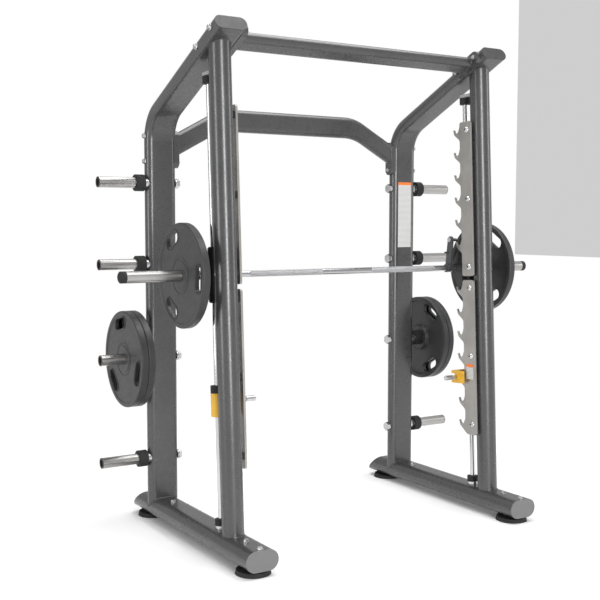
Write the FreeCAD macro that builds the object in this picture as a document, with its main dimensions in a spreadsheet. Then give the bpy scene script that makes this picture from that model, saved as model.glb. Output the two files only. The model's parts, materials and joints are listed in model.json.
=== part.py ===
import FreeCAD, Part
import math
import os
import Sketcher
from FreeCAD import Placement, Rotation, Vector

# Smith machine. X is the width (the bar's axis), +Y the back, +Z up. The origin is on the floor under the
# middle of the machine. Everything is modelled on the right side (+X) and mirrored to the left.
# Posts, rods, racks, carriages and stops lean back by one angle. They are drawn upright in a leaning frame
# (X, Y = distance behind the post's axis, Z = height along the post) and then turned as a whole.

doc = FreeCAD.newDocument("smith_machine")
dims = doc.addObject("Spreadsheet::Sheet", "dims")

DIMENSIONS = {
    # side frames: flat-oval tube, an upright that bends forward into a sloping top beam
    "frame_half": 715, "tube_width": 150, "tube_thick": 60, "tube_wall": 3,
    "upright_back": 370, "beam_front": 345, "beam_top": 2240, "beam_slope": 25, "bend_radius": 160,
    "cap_thick": 5, "plug_length": 8, "plug_gap": 0.3,
    # base tubes, feet and base bolts
    "base_height": 88, "base_low": 26, "base_front": 595, "base_rear": 535, "foot_radius": 75,
    "foot_front": 516, "foot_rear": 478,
    # front posts and the leaning frame
    "lean": 2.9, "post_foot": 351, "post_radius": 47.5, "post_wall": 4,
    # crossbars: a smaller flat-oval tube
    "cross_width": 97, "cross_thick": 50, "cross_middle": 1922, "cross_end": 1797, "cross_corner": 395,
    "cross_radius": 240, "top_cross_front": 238, "flange_thick": 14, "flange_half": 28,
    "top_bolt_gap": 70, "rear_bolt_high": 1830, "rear_bolt_low": 1712, "bolt_radius": 6,
    "head_radius": 11, "head_high": 8, "washer_radius": 14, "washer_thick": 2.5,
    # guide rods
    "rod_radius": 12.5, "rod_back": 107, "rod_top": 2070, "bracket_thick": 14, "rod_bumper": 27,
    # racks
    "rack_inner": 642, "rack_thick": 10, "rack_front": 8, "rack_rear": 70, "hook_reach": 118,
    "rack_bolt_back": 22,
    "pitch": 110.8, "first_tip": 1892, "upper_top": 1926, "upper_low": 1170, "lower_top": 1150,
    "lower_low": 385, "spacer_radius": 17, "boss_inner": 661,
    # bar, sleeves, latches and carriages
    "bar_back": 149, "bar_level": 1212, "bar_radius": 14, "sleeve_radius": 25, "sleeve_start": 790,
    "shoulder": 823, "sleeve_end": 1103, "bar_tip": 1136, "running_gap": 0.05,
    "latch_inner": 616, "latch_thick": 10, "latch_angle": 8.5, "latch_reach": 142,
    "latch_pin_radius": 8, "carriage_half": 115.5, "housing_radius": 26, "bearing_radius": 20,
    "bearing_length": 59, "bush_radius": 18, "bush_length": 30, "bar_tube_radius": 24,
    "bar_tube_inner": 658, "bar_tube_outer": 752,
    # plates
    "plate_radius": 225, "plate_thick": 34, "bore_radius": 25.5, "grip_centre": 168, "grip_width": 50,
    "grip_length": 118,
    # storage pegs
    "peg_radius": 25, "peg_bore": 20, "peg_start": 790, "peg_seat": 841, "peg_end": 1020,
    "peg_bolt_radius": 8, "peg_level_top": 1612, "peg_level_high": 1234, "peg_level_plates": 792,
    "peg_level_low": 312,
    # safety stops
    "stop_hook": 11, "stop_radius": 30, "stop_half": 30.5, "stop_inner": 618, "stop_plate": 8,
    "stop_pin_radius": 12, "stop_nose_radius": 8, "stop_pin_back": 94, "stop_pin_end": 540,
    "stop_pin_tip": 638, "arm_back": 140, "stop_throw": 24,
}
for row, (alias, value) in enumerate(DIMENSIONS.items(), 1):
    dims.set(f"A{row}", alias)
    dims.set(f"B{row}", str(value))
    dims.setAlias(f"B{row}", alias)
doc.recompute()

NODES = {}
X_AXIS, Y_AXIS, Z_AXIS = Vector(1, 0, 0), Vector(0, 1, 0), Vector(0, 0, 1)


def size(alias):
    """The value of one named cell."""
    return float(dims.get(alias))


def bind(obj, **rules):
    """Bind properties to formulas over the sheet's names; __ stands for the dot in a property's path."""
    for prop, rule in rules.items():
        text = str(rule)
        for alias in sorted(DIMENSIONS, key=len, reverse=True):
            text = replace_word(text, alias)
        obj.setExpression(prop.replace("__", "."), text)
    return obj


def replace_word(text, word):
    """Put the sheet's name before each whole word that is one of its aliases."""
    out, start = "", 0
    while True:
        at = text.find(word, start)
        if at < 0:
            return out + text[start:]
        end = at + len(word)
        before = text[at - 1] if at else " "
        after = text[end] if end < len(text) else " "
        whole = not (before.isalnum() or before in "_." or after.isalnum() or after == "_")
        out += text[start:at] + ("dims." if whole else "") + word
        start = end


def place(obj, x=0, y=0, z=0, axis=None, angle=0):
    """Give an object its Placement: formulas for the position, an axis and a formula for the turn."""
    if axis is not None:
        obj.Placement = Placement(Vector(), Rotation(axis, 1))
        bind(obj, Placement__Rotation__Angle=angle)
    return bind(obj, Placement__Base__x=x, Placement__Base__y=y, Placement__Base__z=z)


def leaned(obj):
    """Turn a piece drawn in the leaning frame into its place on the machine."""
    return place(group(f"{obj.Name}_leaned", [obj]), y="-post_foot", axis=-X_AXIS, angle="lean")


def cylinder(name, radius, length, x=0, y=0, z=0, along="x"):
    """A cylinder that starts at a point and runs along X, Y or Z."""
    obj = doc.addObject("Part::Cylinder", name)
    bind(obj, Radius=radius, Height=length)
    turn = {"x": (Y_AXIS, 90), "y": (-X_AXIS, 90), "z": (None, 0)}[along]
    return place(obj, x, y, z, *turn)


def box(name, length, width, height, x=0, y=0, z=0):
    obj = doc.addObject("Part::Box", name)
    bind(obj, Length=length, Width=width, Height=height)
    return place(obj, x, y, z)


def cut(name, base, *tools):
    for number, tool in enumerate(tools):
        obj = doc.addObject("Part::Cut", f"{name}_cut{number}")
        obj.Base, obj.Tool = base, tool
        base = obj
    return base


def fuse(name, *pieces):
    obj = doc.addObject("Part::MultiFuse", name)
    obj.Shapes = list(pieces)
    obj.Refine = True
    return obj


def common(name, *pieces):
    obj = doc.addObject("Part::MultiCommon", name)
    obj.Shapes = list(pieces)
    return obj


def mirror(name, source):
    """The left-hand twin of a right-hand piece."""
    obj = doc.addObject("Part::Mirroring", name)
    obj.Source = source
    obj.Base, obj.Normal = Vector(), X_AXIS
    return obj


def node(label, obj):
    """Name a finished sub-part."""
    obj.Label = label
    NODES[label] = obj
    return obj


def group(name, pieces):
    obj = doc.addObject("Part::Compound", name)
    obj.Links = list(pieces)
    return obj


def pair(label, right):
    """A right-hand piece and its mirror image as two nodes."""
    node(f"{label}_right", right)
    node(f"{label}_left", mirror(f"{label}_twin", right))


def both(label, right):
    """A right-hand group of identical pieces and its mirror image as one node."""
    node(label, group(f"{label}_all", [right, mirror(f"{label}_twin", right)]))


# Sketches -------------------------------------------------------------------------------------------------

def new_body(name):
    return doc.addObject("PartDesign::Body", name)


def sketch(body, name, plane, offset=0):
    """A sketch on one of the body's own origin planes."""
    obj = body.newObject("Sketcher::SketchObject", name)
    support = [f for f in body.Origin.OriginFeatures if f.Role == plane][0]
    obj.AttachmentSupport = [(support, "")]
    obj.MapMode = "FlatFace"
    bind(obj, AttachmentOffset__Base__z=offset)
    return obj


def stadium(sk, width, thick, upright=False):
    """A flat-oval outline about the sketch's origin, bound to a width and a thickness."""
    first = sk.GeometryCount
    half, radius = 40, 20
    if upright:
        ends = [Vector(0, half, 0), Vector(0, -half, 0)]
        starts = [0, math.pi]
    else:
        ends = [Vector(half, 0, 0), Vector(-half, 0, 0)]
        starts = [-math.pi / 2, math.pi / 2]
    for centre, start in zip(ends, starts):
        sk.addGeometry(Part.ArcOfCircle(Part.Circle(centre, Z_AXIS, radius), start, start + math.pi))
    for here, there in ((0, 1), (1, 0)):
        arc_end = sk.getPoint(first + here, 2)
        arc_start = sk.getPoint(first + there, 1)
        sk.addGeometry(Part.LineSegment(arc_end, arc_start))
        line = sk.GeometryCount - 1
        sk.addConstraint(Sketcher.Constraint("Tangent", first + here, 2, line, 1))
        sk.addConstraint(Sketcher.Constraint("Tangent", line, 2, first + there, 1))
    sk.addConstraint(Sketcher.Constraint("Equal", first, first + 1))
    sk.addConstraint(Sketcher.Constraint("Symmetric", first, 3, first + 1, 3, -1, 1))
    direction = "Vertical" if upright else "Horizontal"
    sk.addConstraint(Sketcher.Constraint(direction, first + 2))
    radius_rule = sk.addConstraint(Sketcher.Constraint("Radius", first, radius))
    kind = "DistanceY" if upright else "DistanceX"
    span_rule = sk.addConstraint(Sketcher.Constraint(kind, first + 1, 3, first, 3, 2 * half))
    bind(sk, **{f"Constraints[{radius_rule}]": f"({thick}) / 2"})
    bind(sk, **{f"Constraints[{span_rule}]": f"({width}) - ({thick})"})


def draw(sk, edges):
    """Put lines and arcs, given end to end, into a sketch as one closed outline."""
    first = sk.GeometryCount
    for edge in edges:
        sk.addGeometry(edge)
    count = len(edges)
    for i in range(count):
        here, there = first + i, first + (i + 1) % count
        joints = [(sk.getPoint(here, a).distanceToPoint(sk.getPoint(there, b)), a, b)
                  for a in (1, 2) for b in (1, 2)]
        _, a, b = min(joints)
        sk.addConstraint(Sketcher.Constraint("Coincident", here, a, there, b))


def path(sk, edges):
    """Put an open run of lines and arcs into a sketch."""
    for edge in edges:
        sk.addGeometry(edge)


def rounded(corners):
    """Edges of a polygon whose corners (x, y, radius) are rounded; it runs counter-clockwise."""
    points = [Vector(x, y, 0) for x, y, _ in corners]
    cuts = []
    for i, (_, _, radius) in enumerate(corners):
        back = (points[i - 1] - points[i]).normalize()
        ahead = (points[(i + 1) % len(points)] - points[i]).normalize()
        half_angle = back.getAngle(ahead) / 2
        reach = radius / math.tan(half_angle)
        bisector = (back + ahead).normalize()
        middle = points[i] + bisector * (radius / math.sin(half_angle) - radius)
        cuts.append((points[i] + back * reach, middle, points[i] + ahead * reach))
    edges = []
    for i, (start, middle, end) in enumerate(cuts):
        edges.append(Part.Arc(start, middle, end))
        edges.append(Part.LineSegment(end, cuts[(i + 1) % len(cuts)][0]))
    return edges


def belt(circles):
    """Edges of a tight belt around circles (x, y, radius) given counter-clockwise."""
    normals = []
    for i, (x, y, r) in enumerate(circles):
        nx, ny, nr = circles[(i + 1) % len(circles)]
        distance = math.hypot(nx - x, ny - y)
        normals.append(math.atan2(ny - y, nx - x) - math.acos((r - nr) / distance))
    edges = []
    for i, (x, y, r) in enumerate(circles):
        start, end = normals[i - 1], normals[i]
        while end <= start:
            end += 2 * math.pi
        on = [Vector(x + r * math.cos(a), y + r * math.sin(a), 0) for a in (start, (start + end) / 2, end)]
        edges.append(Part.Arc(*on))
        nx, ny, nr = circles[(i + 1) % len(circles)]
        there = Vector(nx + nr * math.cos(normals[i]), ny + nr * math.sin(normals[i]), 0)
        edges.append(Part.LineSegment(on[2], there))
    return edges


def pad(body, profile, length, name="Pad"):
    obj = body.newObject("PartDesign::Pad", f"{body.Name}_{name}")
    obj.Profile = profile
    return bind(obj, Length=length)


def plate_body(name, edges, thickness, holes=()):
    """A flat plate in the YZ plane, padded along +X, with round holes (y, z, radius)."""
    body = new_body(name)
    outline = sketch(body, f"{name}_outline", "YZ_Plane")
    draw(outline, edges)
    for y, z, radius in holes:
        outline.addGeometry(Part.Circle(Vector(y, z, 0), Z_AXIS, radius))
    pad(body, outline, thickness)
    return body


def pipe(name, profile_plane, spine_plane, sections, edges, offset=0):
    """A flat-oval tube along a path: each section is (width, thickness, upright), the second one hollow."""
    body = new_body(name)
    spine = sketch(body, f"{name}_spine", spine_plane)
    path(spine, edges)
    for number, section in enumerate(sections):
        profile = sketch(body, f"{name}_section{number}", profile_plane, offset)
        stadium(profile, *section)
        kind = "SubtractivePipe" if number else "AdditivePipe"
        feature = body.newObject(f"PartDesign::{kind}", f"{name}_sweep{number}")
        feature.Profile = profile
        feature.Spine = (spine, [f"Edge{i + 1}" for i in range(len(edges))])
        doc.recompute()
    return body


# Base tubes -----------------------------------------------------------------------------------------------

BASE_MIDDLE = "(base_low + base_height / 2)"
INSIDE = "2 * tube_wall"


def base_prism(name, width, height):
    """A flat-oval bar along Y, longer than the base, about the base tube's centre line."""
    body = new_body(name)
    outline = sketch(body, f"{name}_outline", "XZ_Plane")
    stadium(outline, width, height)
    feature = pad(body, outline, "base_front + base_rear + base_height")
    feature.Reversed = True
    return place(body, "frame_half", "-base_front", BASE_MIDDLE)


def rear_cutter(name, setback):
    """A block whose front face is the base's slanted rear end, set back along Y."""
    block = box(name, "4 * tube_width", "4 * tube_width", "4 * tube_width")
    place(block, "frame_half - 2 * tube_width", f"base_rear - ({setback}) * 1.4142 + 2 * tube_width * 0.7071",
          f"{BASE_MIDDLE} - 2 * tube_width * 0.7071", X_AXIS, 45)
    return block


base_solid = base_prism("base_solid", "tube_width", "base_height")
base_inner = base_prism("base_inner", f"tube_width - {INSIDE}", f"base_height - {INSIDE}")
base_plug = base_prism("base_plug", f"tube_width - {INSIDE} - 2 * plug_gap",
                       f"base_height - {INSIDE} - 2 * plug_gap")
SLAB = "4 * tube_width"


def slab(name, start, length):
    return box(name, SLAB, length, SLAB, "frame_half - 2 * tube_width", start, "-tube_width")


def base_end_slice(name, shape, start, end):
    """The part of a bar between two distances from its slanted rear end."""
    return cut(name, cut(f"{name}_long", shape, rear_cutter(f"{name}_far", start)),
               cut(f"{name}_rest", slab(f"{name}_all", "-base_front", "2 * base_front + 4 * tube_width"),
                   rear_cutter(f"{name}_near", end)))


base_shell = cut("base_shell", base_solid, slab("base_front_slab", "-base_front", "cap_thick"),
                 rear_cutter("base_rear_cut", "cap_thick"), base_inner)
front_cap = fuse("base_front_cap",
                 common("base_front_face", base_solid, slab("front_face_slab", "-base_front", "cap_thick")),
                 common("base_front_plug", base_plug,
                        slab("front_plug_slab", "-base_front", "cap_thick + plug_length")))
rear_cap = fuse("base_rear_cap", base_end_slice("rear_face", base_solid, "0", "cap_thick"),
                base_end_slice("rear_plug", base_plug, "0", "cap_thick + plug_length"))


def base_bolt_places():
    return ["-foot_front + 58", "-foot_front - 58", "upright_back - 120", "upright_back + 92"]


def bolt(name, x, y, z, length, along="z", inward=1):
    """A hexagon-head bolt with a washer; the washer's seat is at the point and the shank runs into it."""
    head = doc.addObject("Part::Prism", f"{name}_head")
    bind(head, Circumradius="head_radius", Height="head_high")
    washer = cylinder(f"{name}_washer", "washer_radius", "washer_thick")
    shank = cylinder(f"{name}_shank", "bolt_radius", length)
    sign = "-1 *" if inward > 0 else ""
    back = "" if inward > 0 else "-1 *"
    if along == "z":
        place(head, x, y, f"{z} + washer_thick")
        place(washer, x, y, z, X_AXIS, 0)
        place(shank, x, y, f"{z} - ({length})", X_AXIS, 0)
    else:
        seat = f"{x} {'+' if inward > 0 else '-'} "
        head_x = f"{seat}washer_thick" if inward > 0 else f"{x} - washer_thick - head_high"
        place(head, head_x, y, z, Y_AXIS, 90)
        place(washer, x if inward > 0 else f"{x} - washer_thick", y, z, Y_AXIS, 90)
        place(shank, f"{x} - ({length})" if inward > 0 else x, y, z, Y_AXIS, 90)
    return fuse(name, head, washer, shank)


BASE_TOP = "base_low + base_height"
base_bolt_length = 14
base_bolts = []
base_holes = []
for number, where in enumerate(base_bolt_places()):
    base_bolts.append(bolt(f"base_bolt{number}", "frame_half", where, BASE_TOP, base_bolt_length))
    base_holes.append(cylinder(f"base_hole{number}", "bolt_radius", "4 * tube_wall", "frame_half", where,
                               f"{BASE_TOP} - 2 * tube_wall", "z"))
both("base_bolts", group("base_bolts_right", base_bolts))
pair("base_tube", cut("base_tube_done", base_shell, *base_holes))
both("base_end_caps", group("base_caps_right", [front_cap, rear_cap]))


def foot(name, where):
    """A round rubber foot: a wide pad under a narrower neck that meets the tube's flat underside."""
    sole = doc.addObject("Part::Cone", f"{name}_sole")
    bind(sole, Radius1="foot_radius", Radius2="foot_radius - 4", Height="base_low - 8")
    place(sole, "frame_half", where, 0)
    neck = cylinder(f"{name}_neck", "base_height / 3", 8, "frame_half", where, "base_low - 8", "z")
    return fuse(name, sole, neck)


both("feet", group("feet_right", [foot("front_foot", "-foot_front"), foot("rear_foot", "foot_rear")]))

# Side frames: the upright and the sloping beam ------------------------------------------------------------


def side_path(from_height, to_end):
    """Upright line, bend and sloping line in the (Y, Z) plane through the upright's axis."""
    slope = math.radians(size("beam_slope"))
    run = size("upright_back") + size("beam_front")
    corner = size("beam_top") - run * math.tan(slope)
    reach = size("bend_radius") * math.tan((math.pi / 2 - slope) / 2)
    direction = Vector(-math.cos(slope), math.sin(slope), 0)
    bend_start = Vector(0, corner - reach, 0)
    bend_end = Vector(0, corner, 0) + direction * reach
    centre = bend_start + Vector(-size("bend_radius"), 0, 0)
    half_turn = (math.pi / 2 - slope) / 2
    middle = centre + Vector(math.cos(half_turn), math.sin(half_turn), 0) * size("bend_radius")
    end = Vector(0, corner, 0) + direction * (run / math.cos(slope) - to_end)
    return [Part.LineSegment(Vector(0, from_height, 0), bend_start),
            Part.Arc(bend_start, middle, bend_end), Part.LineSegment(bend_end, end)]


base_middle = size("base_low") + size("base_height") / 2
side_solid = pipe("side_solid", "XY_Plane", "YZ_Plane", [("tube_width", "tube_thick")],
                  side_path(base_middle, size("cap_thick")), BASE_MIDDLE)
side_shell = pipe("side_shell", "XY_Plane", "YZ_Plane",
                  [("tube_width", "tube_thick"), (f"tube_width - {INSIDE}", f"tube_thick - {INSIDE}")],
                  side_path(base_middle, size("cap_thick")), BASE_MIDDLE)
for body in (side_solid, side_shell):
    place(body, "frame_half", "upright_back")

FLANGE_SEAT = "(frame_half - tube_width / 2)"
OUTER_SIDE = "(frame_half + tube_width / 2)"


def on_beam(along, back=0):
    """Formulas for a point on the beam's centre line, a distance behind the top crossbar's centre."""
    y = f"(-top_cross_front + ({along}) * cos(beam_slope))"
    z = f"(beam_top - (beam_front - top_cross_front) * tan(beam_slope) - ({along}) * sin(beam_slope))"
    return y, z


cross_bolt_places = [on_beam("top_bolt_gap"), on_beam("-1 * top_bolt_gap"),
                     ("upright_back", "rear_bolt_high"), ("upright_back", "rear_bolt_low")]
PEG_LEVELS = ["peg_level_top", "peg_level_high", "peg_level_plates", "peg_level_low"]
side_holes = []
for number, (y, z) in enumerate(cross_bolt_places):
    side_holes.append(cylinder(f"side_hole{number}", "bolt_radius + 0.5", "2 * tube_width",
                               "frame_half - tube_width", y, z))
for number, z in enumerate(PEG_LEVELS):
    side_holes.append(cylinder(f"peg_hole{number}", "peg_bolt_radius + 0.5", "2 * tube_width",
                               "frame_half - tube_width", "upright_back", z))
pair("side_tube", cut("side_tube_done", side_shell, base_solid, *side_holes))

beam_cap = new_body("beam_cap")
cap_outline = sketch(beam_cap, "beam_cap_outline", "XY_Plane")
stadium(cap_outline, "tube_width", "tube_thick")
pad(beam_cap, cap_outline, "cap_thick", "face")
plug_outline = sketch(beam_cap, "beam_plug_outline", "XY_Plane", "cap_thick")
stadium(plug_outline, f"tube_width - {INSIDE} - 2 * plug_gap", f"tube_thick - {INSIDE} - 2 * plug_gap")
pad(beam_cap, plug_outline, "plug_length", "plug")
place(beam_cap, "frame_half", "-beam_front", "beam_top", X_AXIS, "-(90 + beam_slope)")
both("beam_end_caps", beam_cap)

# Front posts ----------------------------------------------------------------------------------------------

RACK_BOLTS = ["upper_top - 40", "upper_top - 378", "upper_low + 45",
              "lower_top - 39", "lower_top - 376", "lower_low + 52"]
post_tube = cylinder("post_tube", "post_radius", "beam_top", "frame_half", 0, BASE_MIDDLE, "z")
post_core = cylinder("post_core", "post_radius - post_wall", "beam_top", "frame_half", 0, BASE_MIDDLE, "z")
post_bosses = [cylinder(f"post_boss{i}", "spacer_radius - 2", "frame_half - boss_inner",
                        "boss_inner", "rack_bolt_back", z) for i, z in enumerate(RACK_BOLTS)]
post_taps = [cylinder(f"post_tap{i}", "bolt_radius", "frame_half - boss_inner", "boss_inner - 1",
                      "rack_bolt_back", z) for i, z in enumerate(RACK_BOLTS)]
post_wall = cut("post_wall", post_tube, post_core)
boss_ends = cut("boss_ends", fuse("post_bosses", *post_bosses),
                cylinder("boss_core", "post_radius - 2 * post_wall", "beam_top", "frame_half", 0, 0, "z"))
post_leaned = leaned(cut("post_drilled", fuse("post_with_bosses", post_wall, boss_ends), *post_taps))
above_beam = box("above_beam", SLAB, "beam_top", "beam_top", "frame_half - 2 * tube_width")
place(above_beam, "frame_half - 2 * tube_width",
      "-beam_front + tube_thick / 2 * -sin(beam_slope) - beam_top / 2 * cos(beam_slope)",
      "beam_top - tube_thick / 2 * cos(beam_slope) + beam_top / 2 * sin(beam_slope)", -X_AXIS, "beam_slope")
pair("front_post", cut("front_post_done", post_leaned, base_solid, above_beam))

# Crossbars ------------------------------------------------------------------------------------------------

CROSS_INNER = f"({FLANGE_SEAT} - flange_thick)"


def cross_flange(name, circles_apart_low, circles_apart_high, y, z, turned):
    """An oblong flange block whose outer face is hollowed to sit on the tube's rounded side."""
    low, high, radius = circles_apart_low, circles_apart_high, size("flange_half")
    if turned:
        circles = [(low, 0, radius), (high, 0, radius)]
    else:
        circles = [(0, low, radius), (0, high, radius)]
    body = plate_body(name, belt(circles), "2 * flange_thick")
    place(body, CROSS_INNER, y, z, X_AXIS, "-beam_slope" if turned else 0)
    return body


gap = size("top_bolt_gap")
top_y, top_z = on_beam("0")
top_flange = cut("top_flange_done", cross_flange("top_flange", -gap, gap, top_y, top_z, True), side_solid)
high = size("rear_bolt_high") - size("cross_end")
low = size("rear_bolt_low") - size("cross_end")
rear_flange = cut("rear_flange_done",
                  cross_flange("rear_flange", low, high, "upright_back", "cross_end", False), side_solid)


def cross_spine():
    """The rear crossbar's centre line in (X, Z): level in the middle and bent down to both ends."""
    end_x = size("frame_half") - size("tube_width") / 2 - size("flange_thick")
    corner_x, middle_z, end_z = size("cross_corner"), size("cross_middle"), size("cross_end")
    slope = math.atan2(middle_z - end_z, end_x - corner_x)
    radius = size("cross_radius")
    reach = radius * math.tan(slope / 2)
    edges = []
    last = Vector(-end_x, end_z, 0)
    for side in (-1, 1):
        outer = Vector(side * (corner_x + reach * math.cos(slope)), middle_z - reach * math.sin(slope), 0)
        inner = Vector(side * (corner_x - reach), middle_z, 0)
        centre = Vector(inner.x, middle_z - radius, 0)
        middle = centre + Vector(side * math.sin(slope / 2), math.cos(slope / 2), 0) * radius
        start, end = (outer, inner) if side < 0 else (inner, outer)
        edges += [Part.LineSegment(last, start), Part.Arc(start, middle, end)]
        last = end
    edges.append(Part.LineSegment(last, Vector(end_x, end_z, 0)))
    return edges


def cross_tube(name, hollow):
    """The rear crossbar's bar or bore: a flat-oval section, wide face upright, along the bent line."""
    body = new_body(name)
    spine = sketch(body, f"{name}_spine", "XZ_Plane")
    path(spine, cross_spine())
    end_x = size("frame_half") - size("tube_width") / 2 - size("flange_thick")
    profile = sketch(body, f"{name}_section", "YZ_Plane", -end_x)
    inset = f" - {INSIDE}" if hollow else ""
    stadium(profile, f"cross_width / cos(26.6) {inset}", f"cross_thick{inset}", True)
    profile.AttachmentOffset = Placement(Vector(0, size("cross_end"), -end_x), Rotation())
    profile.setExpression("AttachmentOffset.Base.z", None)
    feature = body.newObject("PartDesign::AdditivePipe", f"{name}_sweep")
    feature.Profile = profile
    feature.Spine = (spine, [f"Edge{i + 1}" for i in range(5)])
    feature.Mode = "Fixed"
    doc.recompute()
    return place(body, 0, "upright_back")


def straight_cross(name, inset):
    body = new_body(name)
    profile = sketch(body, f"{name}_section", "YZ_Plane")
    stadium(profile, f"cross_width{inset}", f"cross_thick{inset}")
    feature = pad(body, profile, f"2 * {CROSS_INNER}")
    feature.Midplane = True
    y, z = on_beam("0")
    return place(body, 0, y, z, X_AXIS, "-beam_slope")


def bolt_clearance(prefix, places):
    return [cylinder(f"{prefix}{i}", "bolt_radius + 0.5", "4 * flange_thick", f"{CROSS_INNER} - flange_thick", y, z)
            for i, (y, z) in enumerate(places)]


def crossbar(label, tube, bore, flange, places):
    """Tube welded between two flanges, hollow, with its bolt holes."""
    holes = group(f"{label}_holes", bolt_clearance(f"{label}_hole", places))
    whole = fuse(f"{label}_whole", tube, flange, mirror(f"{label}_flange_twin", flange))
    inner = cut(f"{label}_bore", bore, *[])
    return node(label, cut(label, whole, inner, holes, mirror(f"{label}_hole_twin", holes)))


crossbar("top_crossbar", straight_cross("top_cross_tube", ""), straight_cross("top_cross_bore", f" - {INSIDE}"),
         top_flange, cross_bolt_places[:2])
crossbar("rear_crossbar", cross_tube("rear_cross_tube", False), cross_tube("rear_cross_bore", True),
         rear_flange, cross_bolt_places[2:])

cross_bolts, cross_nuts = [], []
NUT_SEAT = CROSS_INNER
for number, (y, z) in enumerate(cross_bolt_places):
    length = "tube_width + flange_thick + head_high + 6"
    cross_bolts.append(bolt(f"cross_bolt{number}", OUTER_SIDE, y, z, length, "x"))
    nut = doc.addObject("Part::Prism", f"cross_nut{number}")
    bind(nut, Circumradius="head_radius", Height="head_high")
    place(nut, f"{NUT_SEAT} - head_high", y, z, Y_AXIS, 90)
    bore = cylinder(f"cross_nut_bore{number}", "bolt_radius", "2 * head_high", f"{NUT_SEAT} - 1.5 * head_high", y, z)
    cross_nuts.append(cut(f"cross_nut_done{number}", nut, bore))
both("crossbar_bolts", group("cross_bolts_right", cross_bolts))
both("crossbar_nuts", group("cross_nuts_right", cross_nuts))

# Guide rods -----------------------------------------------------------------------------------------------

ROD_LOW = "(base_low + base_height + rod_back * sin(lean)) / cos(lean) + 2"
BUMPER_LOW = f"({ROD_LOW} + 12)"
pair("guide_rod", leaned(cylinder("guide_rod", "rod_radius", f"rod_top - ({ROD_LOW})", "frame_half",
                                  "rod_back", ROD_LOW, "z")))
bracket_body = new_body("bracket_body")
bracket_outline = sketch(bracket_body, "bracket_outline", "XY_Plane")
draw(bracket_outline, belt([(0, 0, 24), (0, size("rod_back"), 28)]))
bracket_outline.addGeometry(Part.Circle(Vector(0, size("rod_back"), 0), Z_AXIS, size("rod_radius")))
pad(bracket_body, bracket_outline, "bracket_thick")
place(bracket_body, "frame_half", 0, "rod_top - bracket_thick")
bracket_cut = cut("bracket_cut", bracket_body,
                  cylinder("bracket_post", "post_radius", "4 * bracket_thick", "frame_half", 0,
                           "rod_top - 2 * bracket_thick", "z"))
both("rod_top_brackets", leaned(bracket_cut))


def ring(name, outer, inner, start, length, x="frame_half", y="rod_back", along="z"):
    """A ring about a line along Z (start is its lower end) or X (start is its inner end)."""
    z = start if along == "z" else "bar_level"
    first = x if along == "z" else start
    body = cylinder(f"{name}_outer", outer, length, first, y, z, along)
    hole = cylinder(f"{name}_inner", inner, length, first, y, z, along)
    return cut(name, body, hole)


collar = leaned(ring("rod_collar", "rod_bumper", "rod_radius", f"{BUMPER_LOW} - 24", "24"))
both("rod_collars", cut("rod_collar_done", collar, base_solid))
rod_bumpers = [ring("low_bumper", "rod_bumper", "rod_radius + 0.2", BUMPER_LOW, "28"),
               ring("high_bumper", "rod_bumper", "rod_radius + 0.2", "rod_top - bracket_thick - 32", "32")]
both("rod_bumpers", leaned(group("rod_bumpers_right", rod_bumpers)))

# Racks ----------------------------------------------------------------------------------------------------

UPPER_HOOKS = range(0, 6)
LOWER_HOOKS = range(7, 14)


def hook_corners(tip, first):
    """Rounded corners of one hook, from its root below to the plate's edge above the notch."""
    edge, reach = size("rack_rear"), size("hook_reach")
    root = [] if first else [(edge, tip - 54, 20)]
    return root + [(reach - 9, tip - 25, 15), (reach, tip + 2, 3), (reach - 7, tip + 1, 2),
                   (reach - 10.5, tip - 17, 14), (edge + 13, tip - 17, 18), (edge, tip + 15, 24)]


def rack(name, hooks, low, high, bolts):
    """A rack plate with upward hooks on its rear edge, seen along X with Y to the right."""
    front, edge = -size("rack_front"), size("rack_rear")
    corners = [(front, low, 12)]
    tips = [size("first_tip") - k * size("pitch") for k in hooks][::-1]
    cramped = tips[0] - 54 - low < 30
    corners.append((edge - 12, low, 24) if cramped else (edge, low, 12))
    for number, tip in enumerate(tips):
        corners += hook_corners(tip, cramped and number == 0)
    corners += [(edge, high, 12), (front, high, 12)]
    holes = [(size("rack_bolt_back"), z, size("bolt_radius") + 0.5) for z in bolts]
    body = plate_body(name, rounded(corners), "rack_thick", holes)
    return leaned(place(body, "rack_inner"))


upper_bolts = [size("upper_top") - 40, size("upper_top") - 378, size("upper_low") + 45]
lower_bolts = [size("lower_top") - 39, size("lower_top") - 376, size("lower_low") + 52]
pair("upper_rack", rack("upper_rack", UPPER_HOOKS, size("upper_low"), size("upper_top"), upper_bolts))
pair("lower_rack", rack("lower_rack", LOWER_HOOKS, size("lower_low"), size("lower_top"), lower_bolts))

spacers, rack_bolts = [], []
RACK_OUTER = "rack_inner + rack_thick"
for number, z in enumerate(RACK_BOLTS):
    body = cylinder(f"spacer_body{number}", "spacer_radius", f"boss_inner - ({RACK_OUTER})", RACK_OUTER,
                    "rack_bolt_back", z)
    hole = cylinder(f"spacer_hole{number}", "bolt_radius + 0.5", f"boss_inner - ({RACK_OUTER})", RACK_OUTER,
                    "rack_bolt_back", z)
    spacers.append(cut(f"spacer{number}", body, hole))
    dome = doc.addObject("Part::Sphere", f"dome{number}")
    bind(dome, Radius=16)
    place(dome, "rack_inner - 1 + 8", "rack_bolt_back", z)
    keep = box(f"dome_keep{number}", "20", "40", "40", "rack_inner - 20", "rack_bolt_back - 20", f"{z} - 20")
    skirt = cylinder(f"dome_skirt{number}", 13.8, 1, "rack_inner - 1", "rack_bolt_back", z)
    shank = cylinder(f"rack_shank{number}", "bolt_radius", "boss_inner - rack_inner + 26", "rack_inner",
                     "rack_bolt_back", z)
    rack_bolts.append(fuse(f"rack_bolt{number}", common(f"dome_cap{number}", dome, keep), skirt, shank))
both("rack_spacers", leaned(group("rack_spacers_right", spacers)))
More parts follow.
